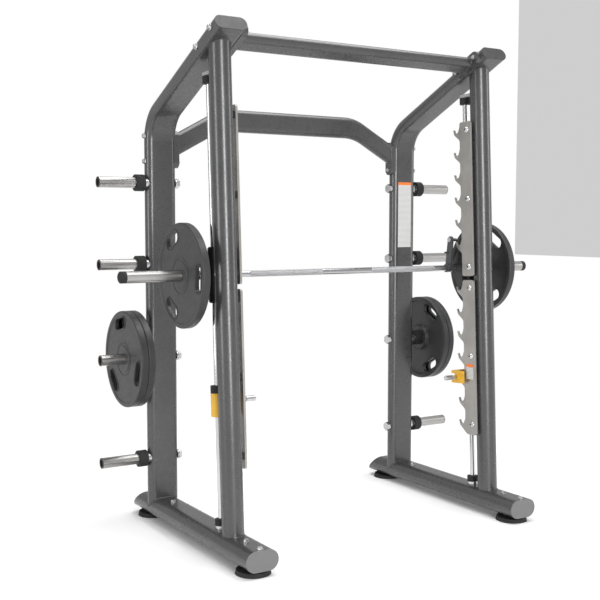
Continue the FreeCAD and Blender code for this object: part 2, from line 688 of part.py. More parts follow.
both("rack_bolts", leaned(group("rack_bolts_right", rack_bolts)))

# Storage pegs ---------------------------------------------------------------------------------------------

pegs, saddles, bumpers, peg_bolts, peg_rings = [], [], [], [], []
PLUG_END = "peg_seat + 20"
for number, z in enumerate(PEG_LEVELS):
    where = {"y": "upright_back", "z": z}
    sleeve_part = cylinder(f"peg_tube{number}", "peg_radius", "peg_end - peg_seat - 1", "peg_seat + 1", **where)
    neck = cylinder(f"peg_neck{number}", "peg_radius - 0.5", "peg_seat - peg_start", "peg_start + 10", **where)
    tube = fuse(f"peg_outside{number}", sleeve_part, neck)
    bore = cylinder(f"peg_bore{number}", "peg_bore", f"peg_end - ({PLUG_END})", PLUG_END, **where)
    tap = cylinder(f"peg_tap{number}", "peg_bolt_radius", "peg_end - peg_start", "peg_start", **where)
    pegs.append(cut(f"peg{number}", tube, bore, tap))
    saddle = cylinder(f"saddle_body{number}", "peg_radius - 1", "tube_thick / 2 + 10",
                      "peg_start - tube_thick / 2", **where)
    hole = cylinder(f"saddle_hole{number}", "peg_bolt_radius + 0.5", "tube_width", "peg_start - tube_thick",
                    **where)
    saddles.append(cut(f"saddle{number}", saddle, hole, side_solid))
    outer = cylinder(f"peg_bumper_outer{number}", "peg_radius + 14", "peg_seat - peg_start - 10",
                     "peg_start + 10", **where)
    inner = cylinder(f"peg_bumper_inner{number}", "peg_radius - 0.5", "peg_seat - peg_start - 10",
                     "peg_start + 10", **where)
    bumpers.append(cut(f"peg_bumper{number}", outer, inner))
    seat = "frame_half - tube_width / 2"
    shank = cylinder(f"peg_shank{number}", "peg_bolt_radius", f"{PLUG_END} - ({seat}) - 2", seat, **where)
    washer = cylinder(f"peg_washer{number}", "peg_bolt_radius + 12", 6, f"{seat} - 6", **where)
    head = doc.addObject("Part::Prism", f"peg_head{number}")
    bind(head, Circumradius="peg_bolt_radius + 16", Height=14)
    place(head, f"{seat} - 20", "upright_back", z, Y_AXIS, 90)
    peg_bolts.append(fuse(f"peg_bolt{number}", head, washer, shank))
    rim = cylinder(f"ring_outer{number}", "peg_radius", 3, "peg_end", **where)
    eye = cylinder(f"ring_inner{number}", "peg_bore - 1", 3, "peg_end", **where)
    lip = cylinder(f"ring_lip{number}", "peg_bore - 0.1", 10, "peg_end - 10", **where)
    lip_eye = cylinder(f"ring_lip_eye{number}", "peg_bore - 1", 10, "peg_end - 10", **where)
    peg_rings.append(fuse(f"peg_ring{number}", cut(f"ring{number}", rim, eye), cut(f"lip{number}", lip, lip_eye)))
pair("storage_pegs", group("pegs_right", pegs))
both("peg_saddles", group("saddles_right", saddles))
both("peg_bumpers", group("bumpers_right", bumpers))
both("peg_bolts", group("peg_bolts_right", peg_bolts))
both("peg_end_rings", group("rings_right", peg_rings))

# Carriages ------------------------------------------------------------------------------------------------

HOUSING_LOW = "bar_level - carriage_half"
housing = cylinder("housing", "housing_radius", "2 * carriage_half", "frame_half", "rod_back", HOUSING_LOW, "z")
bar_tube = cylinder("bar_tube", "bar_tube_radius", "bar_tube_outer - bar_tube_inner", "bar_tube_inner",
                    "bar_back", "bar_level")
side_plate = plate_body("carriage_plate", belt([(0, 0, 27), (-42, 70, 18), (-42, -97, 18)]), "8")
place(side_plate, "bar_tube_inner", "bar_back", "bar_level")
rib = box("carriage_rib", "frame_half - bar_tube_inner", 8, "carriage_half", "bar_tube_inner", "rod_back - 4",
          "bar_level - carriage_half / 2")
carriage = cut("carriage", fuse("carriage_weldment", housing, bar_tube, side_plate, rib),
               cylinder("housing_bore", "bearing_radius", "2 * carriage_half", "frame_half", "rod_back",
                        HOUSING_LOW, "z"),
               cylinder("bar_tube_bore", "bush_radius", "bar_tube_outer - bar_tube_inner", "bar_tube_inner",
                        "bar_back", "bar_level"))
pair("carriage", leaned(carriage))
bearings = [ring("low_bearing", "bearing_radius", "rod_radius + running_gap", HOUSING_LOW, "bearing_length"),
            ring("high_bearing", "bearing_radius", "rod_radius + running_gap",
                 "bar_level + carriage_half - bearing_length", "bearing_length")]
both("linear_bearings", leaned(group("bearings_right", bearings)))


def bar_ring(name, outer, inner, start, length):
    return ring(name, outer, inner, start, length, y="bar_back", along="x")


bushes = [bar_ring("inner_bush", "bush_radius", "bar_radius + running_gap", "bar_tube_inner", "bush_length"),
          bar_ring("outer_bush", "bush_radius", "bar_radius + running_gap", "bar_tube_outer - bush_length",
                   "bush_length")]
both("bar_bushes", leaned(group("bushes_right", bushes)))

# Bar, sleeves and latches ---------------------------------------------------------------------------------

bar = cylinder("bar_rod", "bar_radius", "2 * (sleeve_end - 10)", "-(sleeve_end - 10)", "bar_back", "bar_level")
node("bar", leaned(bar))
sleeve = cut("sleeve", fuse("sleeve_whole",
                            cylinder("sleeve_tube", "sleeve_radius", "sleeve_end - sleeve_start",
                                     "sleeve_start", "bar_back", "bar_level"),
                            cylinder("sleeve_shoulder", "sleeve_radius + 12", 12, "shoulder - 12", "bar_back",
                                     "bar_level")),
             cylinder("sleeve_bore", "bar_radius", "sleeve_end - sleeve_start - 10", "sleeve_start",
                      "bar_back", "bar_level"))
pair("sleeve", leaned(sleeve))
cap_rod = cylinder("end_cap_rod", "sleeve_radius", "bar_tip - sleeve_end", "sleeve_end", "bar_back", "bar_level")
dome = doc.addObject("Part::Sphere", "end_cap_dome")
bind(dome, Radius="bar_tip - sleeve_end + 4")
place(dome, "sleeve_end - 4", "bar_back", "bar_level")
both("sleeve_end_caps", leaned(common("end_cap", cap_rod, dome)))

angle = math.radians(size("latch_angle"))
pin_y, pin_z = -size("latch_reach") * math.sin(angle), size("latch_reach") * math.cos(angle)
PIN_Y = "(bar_back - latch_reach * sin(latch_angle))"
PIN_Z = "(bar_level + latch_reach * cos(latch_angle))"
latch_plate = plate_body("latch_plate", belt([(0, 0, 21), (pin_y, pin_z, 17)]), "latch_thick")
place(latch_plate, "latch_inner", "bar_back", "bar_level")
hub = cylinder("latch_hub", 21, "latch_thick + 14", "latch_inner - 12", "bar_back", "bar_level")
mid_y, mid_z = pin_y * 0.55, pin_z * 0.55
peg = cylinder("latch_peg", 5, 22, "latch_inner - 12", f"bar_back + {mid_y + 17:.1f}", f"bar_level + {mid_z:.1f}")
latch = cut("latch", fuse("latch_whole", latch_plate, hub, peg),
            cylinder("latch_bore", "bar_radius", 60, "latch_inner - 30", "bar_back", "bar_level"),
            cylinder("latch_pin_hole", "latch_pin_radius", 60, "latch_inner - 30", PIN_Y, PIN_Z))
pair("latch", leaned(latch))
pin_shank = cylinder("latch_pin_shank", "latch_pin_radius", "rack_inner + rack_thick + 3 - latch_inner",
                     "latch_inner", PIN_Y, PIN_Z)
pin_head = cylinder("latch_pin_head", "latch_pin_radius + 4", 7, "latch_inner - 7", PIN_Y, PIN_Z)
both("latch_pins", leaned(fuse("latch_pin", pin_shank, pin_head)))
collars = [bar_ring("inner_collar", 20, "bar_radius", "latch_inner + latch_thick + 2",
                    "bar_tube_inner - latch_inner - latch_thick - 3"),
           bar_ring("outer_collar", 20, "bar_radius", "bar_tube_outer + 1", 14)]
both("bar_collars", leaned(group("collars_right", collars)))

# Weight plates --------------------------------------------------------------------------------------------


def weight_plate(name):
    """A grip plate: thick hub and rim, thinner web, and three slots spaced evenly about the bore."""
    body = new_body(name)
    section = sketch(body, f"{name}_section", "XY_Plane")
    bore, outer, thick = size("bore_radius"), size("plate_radius"), size("plate_thick")
    front_dish, back_dish = 3, 15
    corners = [(0, bore, 0.8), (thick, bore, 0.8), (thick, 62, 1), (thick - front_dish, 66, 1),
               (thick - front_dish, outer - 22, 1), (thick, outer - 18, 1), (thick, outer, 5), (0, outer, 5),
               (0, outer - 18, 2), (back_dish, outer - 26, 4), (back_dish, 70, 4), (0, 62, 2)]
    draw(section, rounded(corners))
    turn = body.newObject("PartDesign::Revolution", f"{name}_turn")
    turn.Profile = section
    turn.ReferenceAxis = (section, ["H_Axis"])
    turn.Angle = 360
    doc.recompute()
    whole = turn.Shape.Volume
    slot = sketch(body, f"{name}_slot", "YZ_Plane")
    stadium(slot, "grip_length", "grip_width", True)
    slot.AttachmentOffset = Placement(Vector(-size("grip_centre"), 0, 0), Rotation())
    slot.setExpression("AttachmentOffset.Base.z", None)
    bind(slot, AttachmentOffset__Base__x="-grip_centre")
    pocket = body.newObject("PartDesign::Pocket", f"{name}_pocket")
    pocket.Profile = slot
    pocket.Type = 1
    pocket.Midplane = True
    doc.recompute()
    pattern = body.newObject("PartDesign::PolarPattern", f"{name}_pattern")
    pattern.Originals = [pocket]
    axis = [f for f in body.Origin.OriginFeatures if f.Role == "X_Axis"][0]
    pattern.Axis = (axis, [""])
    pattern.Angle = 360
    pattern.Occurrences = 3
    body.Tip = pattern
    doc.recompute()
    assert pattern.Shape.Volume < whole * 0.95, "the grip slots cut nothing"
    return body


def plate_pair(label, x, y, z, right_turn, left_turn):
    """One plate for each side; each has come to rest with its slots at an angle of its own."""
    node(f"{label}_right", place(weight_plate(f"{label}_r"), x, y, z, X_AXIS, right_turn))
    node(f"{label}_left", mirror(f"{label}_twin", place(weight_plate(f"{label}_l"), x, y, z, X_AXIS, left_turn)))


BAR_Y = "(-post_foot + bar_back * cos(lean) + bar_level * sin(lean))"
BAR_Z = "(bar_level * cos(lean) - bar_back * sin(lean))"
plate_pair("bar_plate", "shoulder + 0.3", BAR_Y, BAR_Z, 62, 2)
plate_pair("stored_plate_inner", "peg_seat + 0.3", "upright_back", "peg_level_plates", 60, 17)
plate_pair("stored_plate_outer", "peg_seat + plate_thick + 0.6", "upright_back", "peg_level_plates", 60, 17)

# Safety stops ---------------------------------------------------------------------------------------------

PIN_LEVEL = "(first_tip - stop_hook * pitch - 4)"
HUB_LOW = f"({PIN_LEVEL} - 65)"
HUB_HIGH = f"({PIN_LEVEL} + 36)"
half = size("stop_half")
pin_back = size("stop_pin_back")
arm_end = size("arm_back")
c_corners = [(52, -half, 6), (arm_end, -half, 3), (arm_end, -half + 15, 3), (pin_back + 18, -half + 15, 6),
             (pin_back + 18, half - 15, 6), (arm_end, half - 15, 3), (arm_end, half, 3), (52, half, 6)]
catch = plate_body("stop_catch", rounded(c_corners), "stop_plate")
place(catch, "stop_inner", 0, PIN_LEVEL)
boss = cylinder("stop_boss", "stop_pin_radius + 5", "stop_plate + 8", "stop_inner - 8", "stop_pin_back", PIN_LEVEL)
arms = [box("stop_arm_low", "frame_half - stop_inner", 16, 15, "stop_inner", "arm_back - 16",
            f"{PIN_LEVEL} - stop_half"),
        box("stop_arm_high", "frame_half - stop_inner", 16, 15, "stop_inner", "arm_back - 16",
            f"{PIN_LEVEL} + stop_half - 15")]
stop_hub = cylinder("stop_hub", "stop_radius", f"{HUB_HIGH} - {HUB_LOW}", "frame_half", "rod_back", HUB_LOW, "z")
stop = cut("stop", fuse("stop_whole", catch, boss, stop_hub, *arms),
           cylinder("stop_bore", "rod_radius + 5", "4 * stop_half", "frame_half", "rod_back", f"{HUB_LOW} - 5", "z"),
           cylinder("stop_pin_bore", "stop_nose_radius + running_gap", "4 * stop_plate", "stop_inner - 16",
                    "stop_pin_back", PIN_LEVEL))
pair("stop", leaned(stop))
pair("stop_bush", leaned(ring("stop_bush", "rod_radius + 5", "rod_radius + running_gap", HUB_LOW,
                              f"{HUB_HIGH} - {HUB_LOW}")))
pair("stop_bumper", leaned(ring("stop_bumper", "stop_radius", "rod_radius + 0.5", HUB_HIGH, "32")))
SHOULDER = "stop_inner - 8 - stop_throw - 0.3"
pin_grip = cylinder("stop_pin_grip", "stop_pin_radius", f"{SHOULDER} - stop_pin_end", "stop_pin_end",
                    "stop_pin_back", PIN_LEVEL)
pin_nose = cylinder("stop_pin_nose", "stop_nose_radius", "stop_pin_tip - stop_pin_end", "stop_pin_end",
                    "stop_pin_back", PIN_LEVEL)
pair("stop_pin", leaned(fuse("stop_pin", pin_grip, pin_nose)))

# Blank placards -------------------------------------------------------------------------------------------

tall_card = box("tall_card", 87, 1, 350, "frame_half - 45", "upright_back - tube_thick / 2 - 1", 1296)
small_card = box("small_card", 1, 50, 74, "rack_inner - 1", 4, 661)
node("placards", group("placards_all", [tall_card, leaned(small_card)]))

# Check and write ------------------------------------------------------------------------------------------

doc.recompute()
for obj in doc.Objects:
    if "Invalid" in obj.State or "Error" in obj.State:
        raise RuntimeError(f"{obj.Name} ({obj.Label}): {obj.State}")
os.makedirs("parts", exist_ok=True)
for label, obj in NODES.items():
    shape = obj.Shape
    if shape.isNull() or not shape.isValid() or not shape.Solids:
        raise RuntimeError(f"{label} has no valid solid")
    shape.exportStep(f"parts/{label}.step")
print(len(NODES), "parts written")
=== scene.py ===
import json
import math
import random

import bmesh
import bpy
from mathutils import Matrix, Vector


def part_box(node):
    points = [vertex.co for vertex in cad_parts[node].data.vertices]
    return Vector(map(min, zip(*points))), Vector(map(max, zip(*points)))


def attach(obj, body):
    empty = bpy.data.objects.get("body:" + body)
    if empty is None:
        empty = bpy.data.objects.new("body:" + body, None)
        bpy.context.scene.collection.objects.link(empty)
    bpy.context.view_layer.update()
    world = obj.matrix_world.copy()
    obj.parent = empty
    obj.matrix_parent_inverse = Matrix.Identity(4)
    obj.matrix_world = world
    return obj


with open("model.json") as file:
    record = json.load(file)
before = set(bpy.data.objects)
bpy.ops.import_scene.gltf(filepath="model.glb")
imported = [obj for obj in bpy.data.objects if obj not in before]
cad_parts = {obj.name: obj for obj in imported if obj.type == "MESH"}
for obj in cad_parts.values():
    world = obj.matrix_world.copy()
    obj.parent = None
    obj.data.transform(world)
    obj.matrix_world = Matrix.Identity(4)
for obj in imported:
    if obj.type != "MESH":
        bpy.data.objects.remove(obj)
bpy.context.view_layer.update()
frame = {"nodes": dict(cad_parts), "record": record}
random.seed(7)

nodes = frame["nodes"]
LEAN = math.radians(2.9)          # posts, rods, racks and stops lean back by this much
SLOPE = math.radians(25)          # the top beams rise to the front by this much
BAR_LOW, BAR_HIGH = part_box("bar")
BAR = (BAR_LOW + BAR_HIGH) / 2
FRAME_HALF = sum(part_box("front_post_right")[i].x for i in (0, 1)) / 2
BASE_LOW, BASE_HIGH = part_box("base_tube_right")
BASE_HALF = (BASE_HIGH.x - BASE_LOW.x) / 2
FRAME_X = (BASE_HIGH.x + BASE_LOW.x) / 2


# Node-tree helpers ---------------------------------------------------------------------------------------

class Mat:
    """A material being built: a few short calls for the nodes that every surface here is made of."""

    def __init__(self, name):
        self.mat = bpy.data.materials.new(name)
        self.mat.use_nodes = True
        self.tree = self.mat.node_tree
        self.bsdf = self.tree.nodes["Principled BSDF"]
        self.coords = self.node("ShaderNodeTexCoord").outputs["Object"]

    def node(self, kind, **values):
        made = self.tree.nodes.new(kind)
        for key, value in values.items():
            setattr(made, key, value)
        return made

    def link(self, a, b):
        self.tree.links.new(a, b)

    def value(self, socket, source):
        """Set a socket to a number, a colour or another node's output."""
        if isinstance(source, bpy.types.NodeSocket):
            self.link(source, socket)
        elif isinstance(source, (tuple, list)) and len(source) == 3 and socket.type == "RGBA":
            socket.default_value = (*source, 1)
        else:
            socket.default_value = source

    def noise(self, scale, detail=4.0, stretch=(1, 1, 1)):
        mapping = self.node("ShaderNodeMapping")
        mapping.inputs["Scale"].default_value = stretch
        self.link(self.coords, mapping.inputs["Vector"])
        made = self.node("ShaderNodeTexNoise")
        made.inputs["Scale"].default_value = scale
        made.inputs["Detail"].default_value = detail
        self.link(mapping.outputs[0], made.inputs["Vector"])
        return made.outputs["Fac"]

    def remap(self, source, low, high, out_low=0.0, out_high=1.0):
        made = self.node("ShaderNodeMapRange")
        for key, value in zip(("From Min", "From Max", "To Min", "To Max"), (low, high, out_low, out_high)):
            made.inputs[key].default_value = value
        self.link(source, made.inputs["Value"])
        return made.outputs["Result"]

    def math(self, operation, a, b=0.0):
        made = self.node("ShaderNodeMath", operation=operation)
        self.value(made.inputs[0], a)
        self.value(made.inputs[1], b)
        return made.outputs[0]

    def mix(self, factor, a, b):
        made = self.node("ShaderNodeMix", data_type="RGBA")
        self.value(made.inputs[0], factor)
        self.value(made.inputs[6], a)
        self.value(made.inputs[7], b)
        return made.outputs[2]

    def axis(self, name):
        split = self.node("ShaderNodeSeparateXYZ")
        self.link(self.coords, split.inputs[0])
        return split.outputs[name]

    def edges(self, radius):
        """1 along edges and 0 elsewhere, and a normal that rounds the edges off."""
        bevel = self.node("ShaderNodeBevel", samples=4)
        bevel.inputs["Radius"].default_value = radius
        geometry = self.node("ShaderNodeNewGeometry")
        dot = self.node("ShaderNodeVectorMath", operation="DOT_PRODUCT")
        self.link(bevel.outputs[0], dot.inputs[0])
        self.link(geometry.outputs["Normal"], dot.inputs[1])
        return self.remap(dot.outputs["Value"], 0.995, 0.90), bevel.outputs[0]

    def bump(self, height, distance, normal=None):
        made = self.node("ShaderNodeBump")
        made.inputs["Distance"].default_value = distance
        made.inputs["Strength"].default_value = 1.0
        self.link(height, made.inputs["Height"])
        if normal is not None:
            self.link(normal, made.inputs["Normal"])
        return made.outputs[0]

    def finish(self, **sockets):
        for key, source in sockets.items():
            self.value(self.bsdf.inputs[key.replace("_", " ")], source)
        return self.mat


def finish_material(name, colour, rough, metallic=0.0, edge=None, edge_size=0.0012, blotch=0.12, grain=600,
                    grain_depth=0.00004, stretch=(1, 1, 1), coat=0.0, spread=0.08, specular=0.5):
    """Colour with slow variation, roughness with finer variation, surface grain and worn or rounded edges."""
    m = Mat(name)
    slow = m.noise(7, 3)
    darker = tuple(c * (1 - blotch) for c in colour)
    lighter = tuple(min(1, c * (1 + blotch)) for c in colour)
    tint = m.mix(m.remap(slow, 0.35, 0.65), darker, lighter)
    at_edge, rounded = m.edges(edge_size)
    wear = m.math("MULTIPLY", at_edge, m.remap(m.noise(60, 5), 0.42, 0.62))
    if edge:
        tint = m.mix(m.math("MULTIPLY", wear, 0.6), tint, edge)
    fine = m.noise(grain, 3, stretch)
    roughness = m.remap(m.noise(45, 6, stretch), 0.3, 0.7, max(0.03, rough - spread), min(1, rough + spread))
    normal = m.bump(fine, grain_depth, rounded)
    m.bsdf.inputs["Coat Weight"].default_value = coat
    m.bsdf.inputs["Coat Roughness"].default_value = 0.18
    m.bsdf.inputs["Specular IOR Level"].default_value = specular
    return m.finish(Base_Color=tint, Roughness=roughness, Metallic=metallic, Normal=normal), m


MATERIALS = {}


def define(slot, *args, **kwargs):
    MATERIALS[slot] = finish_material(slot + "_look", *args, **kwargs)[0]


define("frame_grey", (0.078, 0.078, 0.080), 0.30, metallic=0.55, edge=(0.15, 0.15, 0.15), coat=0.25, grain=1500,
       grain_depth=0.00001, blotch=0.04, spread=0.05)
define("cap_dark", (0.035, 0.035, 0.037), 0.45, grain=900, blotch=0.1, edge=(0.09, 0.09, 0.09))
define("rack_grey", (0.36, 0.345, 0.325), 0.38, metallic=0.75, stretch=(1, 1, 0.05), grain=900,
       grain_depth=0.00005, edge=(0.6, 0.6, 0.58), blotch=0.1)
define("chrome", (0.60, 0.60, 0.61), 0.13, metallic=1.0, spread=0.05, stretch=(1, 1, 0.02), blotch=0.03,
       grain_depth=0.000003)
define("peg_steel", (0.42, 0.41, 0.40), 0.30, metallic=1.0, stretch=(0.02, 1, 1), grain=160, blotch=0.06,
       grain_depth=0.000006, edge=(0.6, 0.6, 0.6), spread=0.06)
define("latch_grey", (0.055, 0.055, 0.058), 0.38, metallic=0.3, edge=(0.2, 0.2, 0.2), coat=0.2)
define("housing_black", (0.018, 0.018, 0.019), 0.35, metallic=0.2, edge=(0.10, 0.10, 0.10), coat=0.2)
define("plate_iron", (0.026, 0.026, 0.027), 0.42, metallic=0.1, edge=(0.09, 0.09, 0.09), grain=420,
       grain_depth=0.00004, edge_size=0.002, blotch=0.1, spread=0.05)
define("stop_yellow", (0.66, 0.37, 0.016), 0.36, metallic=0.1, edge=(0.35, 0.24, 0.10), coat=0.3)
define("rubber_black", (0.014, 0.014, 0.015), 0.68, grain=500, grain_depth=0.00004, blotch=0.2, spread=0.08,
       specular=0.35)
define("bolt_zinc", (0.55, 0.55, 0.56), 0.26, metallic=1.0, edge=(0.8, 0.8, 0.8), edge_size=0.0008)
define("bronze", (0.45, 0.30, 0.12), 0.4, metallic=0.9)
define("bearing_steel", (0.5, 0.5, 0.5), 0.3, metallic=1.0)
define("bracket_grey", (0.40, 0.40, 0.39), 0.40, metallic=0.5, edge=(0.6, 0.6, 0.6))


def knurled_bar():
    """Hard chrome whose grip bands carry a fine crossed knurl."""
    mat, m = finish_material("bar_steel_look", (0.46, 0.46, 0.47), 0.2, metallic=1.0, stretch=(0.05, 1, 1),
                             blotch=0.05)
    x = m.math("ABSOLUTE", m.axis("X"))
    in_grip = m.math("MULTIPLY", m.math("GREATER_THAN", x, 0.14), m.math("LESS_THAN", x, 0.52))
    along = m.axis("X")
    angle_y, angle_z = m.axis("Y"), m.axis("Z")
    turn = m.node("ShaderNodeMath", operation="ARCTAN2")
    m.link(m.math("SUBTRACT", angle_z, BAR.z), turn.inputs[0])
    m.link(m.math("SUBTRACT", angle_y, BAR.y), turn.inputs[1])
    around = m.math("MULTIPLY", turn.outputs[0], 22.0)
    run = m.math("MULTIPLY", along, 22.0 / 0.014)
    first = m.math("SINE", m.math("ADD", run, around))
    second = m.math("SINE", m.math("SUBTRACT", run, around))
    height = m.math("MULTIPLY", m.math("MULTIPLY", first, second), in_grip)
    old = m.bsdf.inputs["Normal"].links[0].from_socket
    m.link(m.bump(height, 0.0006, old), m.bsdf.inputs["Normal"])
    rough = m.bsdf.inputs["Roughness"].links[0].from_socket
    m.link(m.math("ADD", rough, m.math("MULTIPLY", in_grip, 0.22)), m.bsdf.inputs["Roughness"])
    return mat


MATERIALS["bar_steel"] = knurled_bar()


def banded(name, base, band, axis, low, high):
    """A plain card or cap whose colour changes between two levels along one axis."""
    mat, m = finish_material(name, base, 0.4, grain=300, blotch=0.03)
    level = m.axis(axis)
    inside = m.math("MULTIPLY", m.math("GREATER_THAN", level, low), m.math("LESS_THAN", level, high))
    old = m.bsdf.inputs["Base Color"].links[0].from_socket
    m.link(m.mix(inside, old, band), m.bsdf.inputs["Base Color"])
    return mat


BAND = 0.015                      # height of the coloured band along a placard's upper edge
TALL_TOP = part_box("placards")[1].z
SMALL_TOP = 0.0


def clusters(node, reach):
    """Centres and boxes of the separate solids of one CAD node, found by how near their points lie."""
    groups = []
    for vertex in nodes[node].data.vertices:
        for group in groups:
            if (vertex.co - group[0]).length < reach:
                group[1] = Vector(map(min, group[1], vertex.co))
                group[2] = Vector(map(max, group[2], vertex.co))
                break
        else:
            groups.append([vertex.co.copy(), vertex.co.copy(), vertex.co.copy()])
    return [(low, high) for _, low, high in groups]


cards = clusters("placards", 0.4)
SMALL_TOP = min(high.z for _, high in cards)


def card_material():
    """Light card with faint ruled lines and a plain coloured band along the top of each placard."""
    mat, m = finish_material("card_look", (0.56, 0.56, 0.55), 0.4, grain=300, blotch=0.03)
    level = m.axis("Z")
    lines = m.math("SINE", m.math("MULTIPLY", level, 2 * math.pi / 0.0065))
    ruled = m.mix(m.remap(lines, 0.0, 0.6), (0.62, 0.62, 0.61), (0.34, 0.34, 0.34))
    bands = None
    for top in (TALL_TOP, SMALL_TOP):
        inside = m.math("MULTIPLY", m.math("GREATER_THAN", level, top - BAND), m.math("LESS_THAN", level, top))
        bands = inside if bands is None else m.math("ADD", bands, inside)
    m.link(m.mix(bands, ruled, (0.80, 0.17, 0.015)), m.bsdf.inputs["Base Color"])
    return mat


MATERIALS["card"] = card_material()
end_caps = banded("base_caps_look", (0.035, 0.035, 0.037), (0.145, 0.145, 0.147), "Y", BASE_LOW.y - 1,
                  BASE_LOW.y + 0.001)

for part in frame["record"]["subparts"]:
    node = nodes[part["node"]]
    look = end_caps if part["node"] == "base_end_caps" else MATERIALS[part["material_slot"]]
    if not node.material_slots:
        node.data.materials.append(look)
    for place in node.material_slots:
        place.material = look


# Detail pieces -------------------------------------------------------------------------------------------

def piece(name, mesh, slot, body):
    obj = bpy.data.objects.new(name, mesh)
    bpy.context.scene.collection.objects.link(obj)
    mesh.materials.append(MATERIALS[slot])
    for face in mesh.polygons:
        face.use_smooth = True
    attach(obj, body)
    return obj


def tube_along(bm, points, radius, sides=8, ripple=0.0):
    """A closed bead that follows a loop of points; ripple swells it like the scales of a weld."""
    count = len(points)
    rings = []
    for i, point in enumerate(points):
        ahead = (points[(i + 1) % count] - points[i - 1]).normalized()
        side = ahead.orthogonal().normalized() if not rings else None
        if side is None:
            side = (last_side - ahead * last_side.dot(ahead)).normalized()
        last_side = side
        other = ahead.cross(side)
        size = radius * (1 + ripple * math.cos(i * math.pi))
        rings.append([bm.verts.new(point + (side * math.cos(a) + other * math.sin(a)) * size)
                      for a in (2 * math.pi * k / sides for k in range(sides))])
    for i in range(count):
        here, there = rings[i], rings[(i + 1) % count]
        start = min(range(sides), key=lambda k: (there[k].co - here[0].co).length)
        for k in range(sides):
            bm.faces.new((here[k], here[(k + 1) % sides], there[(k + 1 + start) % sides], there[(k + start) % sides]))


def mesh_of(name, build):
    bm = bmesh.new()
    build(bm)
    bmesh.ops.recalc_face_normals(bm, faces=bm.faces)
    mesh = bpy.data.meshes.new(name)
    bm.to_mesh(mesh)
    bm.free()
    return mesh


def oval_points(half_width, half_thick, count, centre, across, up):
    """Points round a flat oval: two half circles joined by straight sides."""
    straight = 2 * (half_width - half_thick)
    total = 2 * straight + 2 * math.pi * half_thick
    out = []
    for i in range(count):
        s = total * i / count
        if s < straight:
            a, b = s - straight / 2, half_thick
        elif s < straight + math.pi * half_thick:
            t = (s - straight) / half_thick
            a, b = straight / 2 + half_thick * math.sin(t), half_thick * math.cos(t)
        elif s < 2 * straight + math.pi * half_thick:
            a, b = straight / 2 - (s - straight - math.pi * half_thick), -half_thick
        else:
            t = (s - 2 * straight - math.pi * half_thick) / half_thick
            a, b = -straight / 2 - half_thick * math.sin(t), -half_thick * math.cos(t)
        out.append(centre + across * a + up * b)
    return out


def base_top(x_offset):
    """Height of the base tube's surface at a distance from its centre line."""
    radius = (BASE_HIGH.z - BASE_LOW.z) / 2
    flat = BASE_HALF - radius
    drop = max(0.0, abs(x_offset) - flat)
    return (BASE_HIGH.z + BASE_LOW.z) / 2 + math.sqrt(max(0.0, radius ** 2 - drop ** 2))


POST_RADIUS = 0.0475
POST_FOOT = -0.351


def post_weld(side):
    points = []
    for i in range(96):
        a = 2 * math.pi * i / 96
        x = POST_RADIUS * math.cos(a)
        z = base_top(x)
        y = POST_FOOT + z * math.tan(LEAN) + POST_RADIUS * math.sin(a) / math.cos(LEAN)
        points.append(Vector((side * FRAME_X + x, y, z)))
    return points


def upright_weld(side):
    low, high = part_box("side_tube_right")
    centre = Vector((side * FRAME_X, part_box("storage_pegs_right")[0].y + 0.025, 0))
    points = oval_points(0.0748, 0.030, 120, centre, Vector((1, 0, 0)), Vector((0, 1, 0)))
    for point in points:
        point.z = base_top(point.x - side * FRAME_X)
    return points


for side, word in ((1, "right"), (-1, "left")):
    for kind, points in (("post", post_weld(side)), ("upright", upright_weld(side))):
        mesh = mesh_of(f"{kind}_weld_{word}", lambda bm: tube_along(bm, points, 0.0032, ripple=0.12))
        piece(f"{kind}_weld_{word}", mesh, "frame_grey", "frame")


def leaning(x, back, height):
    """A point of the leaning frame: a distance behind the post's axis and a height along the post."""
    return Vector((x, POST_FOOT + back * math.cos(LEAN) + height * math.sin(LEAN),
                   height * math.cos(LEAN) - back * math.sin(LEAN)))


def beam_weld(side):
    """The bead where the post's top meets the beam's sloping underside."""
    cap_low, cap_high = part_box("beam_end_caps")
    normal = Vector((0, math.sin(SLOPE), math.cos(SLOPE)))
    under = Vector((0, (cap_low.y + cap_high.y) / 2, (cap_low.z + cap_high.z) / 2)) - normal * 0.030
    along = leaning(0, 0, 1) - leaning(0, 0, 0)
    points = []
    for i in range(96):
        a = 2 * math.pi * i / 96
        start = leaning(side * FRAME_X + POST_RADIUS * math.cos(a), POST_RADIUS * math.sin(a), 2.0)
        points.append(start + along * ((under - start).dot(normal) / along.dot(normal)))
    return points


def crossbar_welds(side):
    top_low, top_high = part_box("top_crossbar")
    rear_low, rear_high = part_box("rear_crossbar")
    seat = FRAME_X - BASE_HALF - 0.014
    top = Vector((side * seat, (top_low.y + top_high.y) / 2, (top_low.z + top_high.z) / 2))
    rear = Vector((side * seat, (rear_low.y + rear_high.y) / 2, rear_low.z + 0.113))
    along, up = Vector((0, math.cos(SLOPE), -math.sin(SLOPE))), Vector((0, math.sin(SLOPE), math.cos(SLOPE)))
    return (oval_points(0.0485, 0.025, 80, top, along, up),
            oval_points(0.0543, 0.025, 80, rear, Vector((0, 0, 1)), Vector((0, 1, 0))))


for side, word in ((1, "right"), (-1, "left")):
    top_points, rear_points = crossbar_welds(side)
    for kind, points in (("beam", beam_weld(side)), ("top_crossbar", top_points), ("rear_crossbar", rear_points)):
        mesh = mesh_of(f"{kind}_weld_{word}", lambda bm: tube_along(bm, points, 0.0028, ripple=0.12))
        piece(f"{kind}_weld_{word}", mesh, "frame_grey", "frame")


